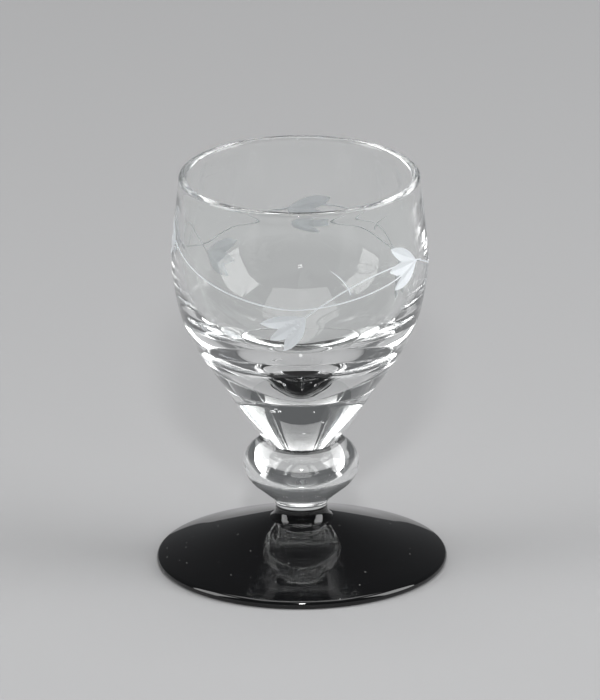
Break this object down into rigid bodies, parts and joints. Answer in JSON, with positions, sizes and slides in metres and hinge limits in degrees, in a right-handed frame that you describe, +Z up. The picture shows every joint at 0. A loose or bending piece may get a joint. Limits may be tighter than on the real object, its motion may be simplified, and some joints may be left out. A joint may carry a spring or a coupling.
{
  "type": "shot glass",
  "caption": "Small footed glass for spirits: egg-shaped clear bowl with a cut leaf garland, solid cone, knop and short neck on a round black foot.",
  "frame": {"origin": "centre of the ring under the foot, on the plane of the table", "axes": "+Z up along the axis of the glass, from the foot to the rim; X and Y are alike"},
  "size_m": [0.0568, 0.0568, 0.08],
  "materials": {
    "clear_glass": "fire-polished",
    "black_glass": "gloss"
  },
  "bodies": {
    "root": {"bowl": "clear_glass", "cone": "clear_glass", "knop": "clear_glass", "neck": "clear_glass", "foot": "black_glass"}
  },
  "joints": []
}
